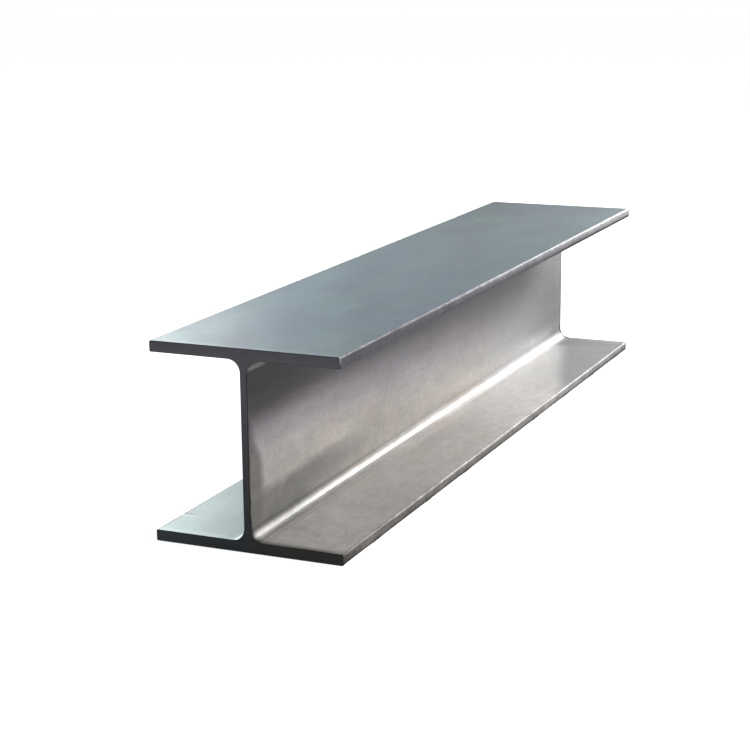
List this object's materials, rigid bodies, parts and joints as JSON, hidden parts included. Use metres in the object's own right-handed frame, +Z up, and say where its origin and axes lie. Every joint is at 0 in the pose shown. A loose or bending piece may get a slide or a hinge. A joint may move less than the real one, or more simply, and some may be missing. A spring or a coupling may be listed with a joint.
{
  "type": "steel i-beam",
  "caption": "Straight sawn length of hot-rolled wide-flange steel I-beam: parallel flanges joined by an upright web with filleted roots, used as a beam, column or support.",
  "frame": {"origin": "middle of the underside of the lower flange, at half of the beam's length", "axes": "+X along the beam, +Y across the flanges, +Z up along the depth of the web"},
  "size_m": [1.2, 0.25, 0.25],
  "materials": {
    "rolled_steel": "satin blue-grey mill finish on the rolled faces, dark saw-cut ends"
  },
  "bodies": {
    "root": {"i_beam": "rolled_steel"}
  },
  "joints": []
}
